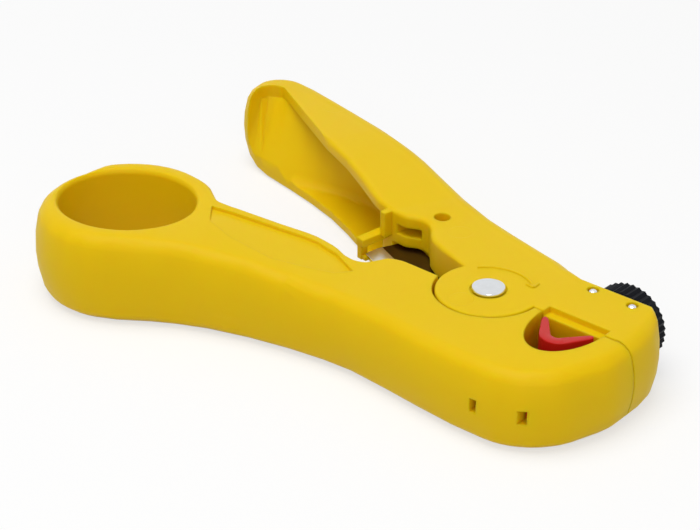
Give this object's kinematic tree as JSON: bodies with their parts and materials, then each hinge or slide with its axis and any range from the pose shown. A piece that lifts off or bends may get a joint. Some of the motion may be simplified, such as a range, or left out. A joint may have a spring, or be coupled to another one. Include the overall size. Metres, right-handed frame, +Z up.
{
  "type": "cable stripper",
  "caption": "Plier-style cable stripper with a finger-ring body, a sprung thumb lever, a spring-loaded V seat in its jaw and a knurled depth knob.",
  "frame": {"origin": "foot of the pivot axis, on the underside that the tool lies on", "axes": "+X from the pivot towards the jaw's nose, along the body; +Y towards the sprung lever; +Z up along the pivot axis, towards the rivet's head"},
  "size_m": [0.1125, 0.0818, 0.0164],
  "materials": {
    "yellow_plastic": "satin moulded plastic with a fine grain",
    "red_plastic": "smooth glossy moulded plastic",
    "black_plastic": "moulded plastic with a satin sheen",
    "bright_steel": "plain polished steel"
  },
  "bodies": {
    "body": {"main_body": "yellow_plastic", "pivot_rivet": "bright_steel", "lever_spring": "bright_steel", "seat_spring": "bright_steel"},
    "lever": {"lever": "yellow_plastic", "cutter_blade": "bright_steel", "knob_pin_rear": "bright_steel", "knob_pin_front": "bright_steel"},
    "knob": {"adjusting_knob": "black_plastic", "knob_screw": "bright_steel"},
    "blade_carrier": {"blade_carrier": "bright_steel", "stripping_blade": "bright_steel"},
    "cable_seat": {"cable_seat": "red_plastic"}
  },
  "joints": [
    {"name": "lever_hinge", "type": "hinge", "parent": "body", "child": "lever", "pos_m": [0, 0, 0.007], "axis": [0, 0, 1], "range_deg": [0, 22], "stiffness_Nm_per_rad": 0.06, "springref_deg": -57.3, "deforming": ["lever_spring"]},
    {"name": "cable_seat_slide", "type": "slide", "parent": "body", "child": "cable_seat", "axis": [-0.247, -0.969, 0], "range_m": [0, 0.0024], "stiffness_N_per_m": 371, "deforming": ["seat_spring"]},
    {"name": "knob_turn", "type": "hinge", "parent": "lever", "child": "knob", "pos_m": [0.01944, 0.00846, 0.007], "axis": [0.247, 0.969, 0], "range_deg": [-360, 360]},
    {"name": "blade_carrier_slide", "type": "slide", "parent": "lever", "child": "blade_carrier", "axis": [0.247, 0.969, 0], "range_m": [-0.0008, 0.0008]}
  ],
  "couplings": [
    {"joint": "blade_carrier_slide", "follows": "knob_turn", "m_per_rad": -0.000127}
  ]
}
